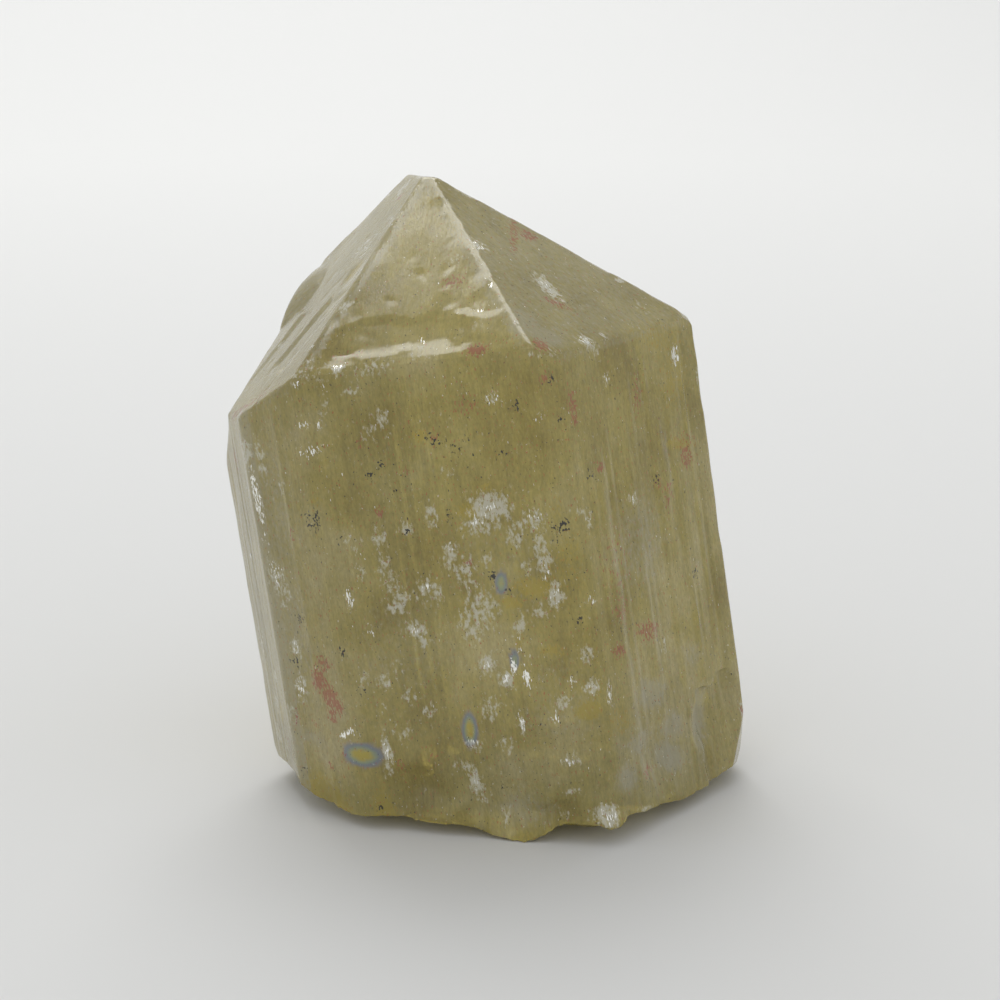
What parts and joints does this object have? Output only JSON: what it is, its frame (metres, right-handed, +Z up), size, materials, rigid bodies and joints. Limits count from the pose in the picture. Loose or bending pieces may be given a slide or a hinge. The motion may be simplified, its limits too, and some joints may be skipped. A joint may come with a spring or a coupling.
{
  "type": "fluorapatite crystal",
  "caption": "Loose olive-yellow hexagonal crystal with a striated prism, a low six-sided pyramid on top and a broken base that it stands on.",
  "frame": {"origin": "middle of the crystal's box, on the ground plane that its broken base rests on", "axes": "+Z up, close to the crystal's long axis, which leans 8.5 degrees to -X and 6.1 degrees to +Y; -Y is the side that the picture shows"},
  "size_m": [0.0294, 0.0262, 0.0337],
  "materials": {
    "apatite": "see-through olive-yellow fluorapatite, vitreous on the pyramid faces, silky from lengthwise striations on the prism faces"
  },
  "bodies": {
    "root": {"fluorapatite_crystal": "apatite"}
  },
  "joints": []
}
